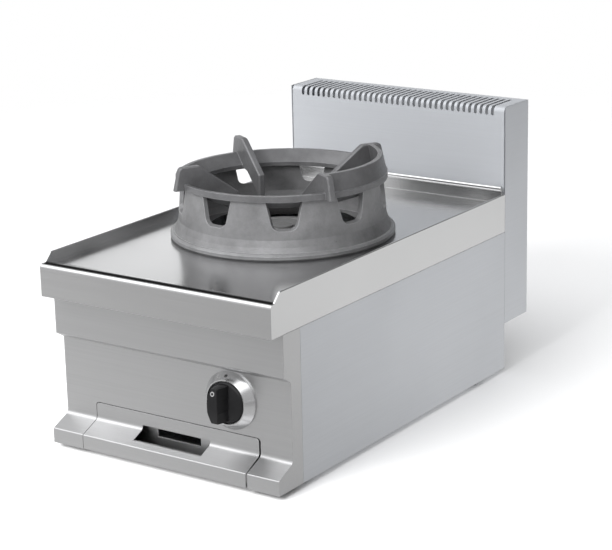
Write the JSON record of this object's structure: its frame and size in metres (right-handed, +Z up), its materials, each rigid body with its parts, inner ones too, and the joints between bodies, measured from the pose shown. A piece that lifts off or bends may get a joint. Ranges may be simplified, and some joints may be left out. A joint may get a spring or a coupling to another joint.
{
  "type": "wok range",
  "caption": "Counter-top gas wok range with cast wok stand and horned ring, front control knob, pull-out drip tray and slotted rear flue box.",
  "frame": {"origin": "bottom centre of the box round the whole object, at the underside of the feet", "axes": "+X to the operator's right, +Y from the control front to the flue at the rear, +Z up"},
  "size_m": [0.4, 0.707, 0.4286],
  "materials": {
    "worktop_steel": "polished brushed steel, softly mirror-like",
    "front_steel": "brushed stainless, grain along the width",
    "side_steel": "brushed stainless, satin",
    "flue_steel": "brushed stainless, satin",
    "tray_steel": "plain stainless, satin",
    "inner_sheet": "aluminised sheet, dull",
    "stand_iron": "as cast, matt grey",
    "ring_iron": "as cast, matt grey",
    "burner_iron": "as cast, matt dark grey",
    "brass": "turned, satin",
    "tap_brass": "forged, matt",
    "fitting_steel": "zinc plated",
    "bezel_metal": "satin chrome",
    "knob_plastic": "black, heat resistant, softly glossy",
    "pipe_steel": "dark lacquered steel pipe",
    "aluminium_pipe": "drawn tube",
    "copper_probe": "copper, dull",
    "foot_rubber": "matt black"
  },
  "bodies": {
    "chassis": {"base_pan": "inner_sheet", "burner_beam": "inner_sheet", "burner_body": "burner_iron", "burner_pipe": "aluminium_pipe", "duct_collar": "inner_sheet", "flue_back": "flue_steel", "flue_cover": "flue_steel", "flue_floor": "inner_sheet", "flue_side_left": "side_steel", "flue_side_right": "side_steel", "foot_front_left": "foot_rubber", "foot_front_right": "foot_rubber", "foot_rear_left": "foot_rubber", "foot_rear_right": "foot_rubber", "front_fascia": "front_steel", "gas_inlet": "fitting_steel", "heat_shield": "inner_sheet", "injector": "brass", "injector_holder": "fitting_steel", "knob_bezel": "bezel_metal", "mixer_tube": "burner_iron", "pilot_bracket": "inner_sheet", "pilot_burner": "fitting_steel", "pilot_tube": "aluminium_pipe", "pipe_nuts": "brass", "rail_front": "inner_sheet", "rail_rear": "inner_sheet", "rear_panel": "inner_sheet", "rear_screws": "fitting_steel", "side_panel_left": "side_steel", "side_panel_right": "side_steel", "supply_pipe": "pipe_steel", "tap_body": "tap_brass", "thermocouple": "copper_probe", "thermocouple_lead": "copper_probe", "tray_runner_left": "inner_sheet", "tray_runner_right": "inner_sheet", "worktop": "worktop_steel"},
    "drip_tray": {"drip_tray_front": "front_steel", "drip_tray": "tray_steel"},
    "wok_stand": {"wok_stand": "stand_iron"},
    "wok_ring": {"wok_ring": "ring_iron"},
    "burner_crown": {"burner_crown": "burner_iron"},
    "burner_cap": {"burner_cap": "burner_iron"},
    "valve_plunger": {"thrust_pin": "fitting_steel"},
    "knob": {"knob": "knob_plastic", "tap_stem": "brass"},
    "air_shutter": {"air_shutter": "fitting_steel"}
  },
  "joints": [
    {"name": "drip_tray_slide", "type": "slide", "parent": "chassis", "child": "drip_tray", "axis": [0, -1, 0], "range_m": [0, 0.44]},
    {"name": "wok_stand_lift", "type": "slide", "parent": "chassis", "child": "wok_stand", "axis": [0, 0, 1], "range_m": [0, 0.05]},
    {"name": "wok_ring_lift", "type": "slide", "parent": "wok_stand", "child": "wok_ring", "axis": [0, 0, 1], "range_m": [0, 0.08]},
    {"name": "burner_crown_lift", "type": "slide", "parent": "chassis", "child": "burner_crown", "axis": [0, 0, 1], "range_m": [0, 0.03]},
    {"name": "burner_cap_lift", "type": "slide", "parent": "burner_crown", "child": "burner_cap", "axis": [0, 0, 1], "range_m": [0, 0.02]},
    {"name": "tap_push", "type": "slide", "parent": "chassis", "child": "valve_plunger", "axis": [0, 1, 0], "range_m": [0, 0.003], "stiffness_N_per_m": 1500, "springref_m": -0.002},
    {"name": "knob_turn", "type": "hinge", "parent": "valve_plunger", "child": "knob", "pos_m": [0.0995, -0.309, 0.1175], "axis": [0, -1, 0], "range_deg": [0, 180]},
    {"name": "air_shutter_slide", "type": "slide", "parent": "chassis", "child": "air_shutter", "axis": [0, -1, 0], "range_m": [0, 0.008]}
  ]
}
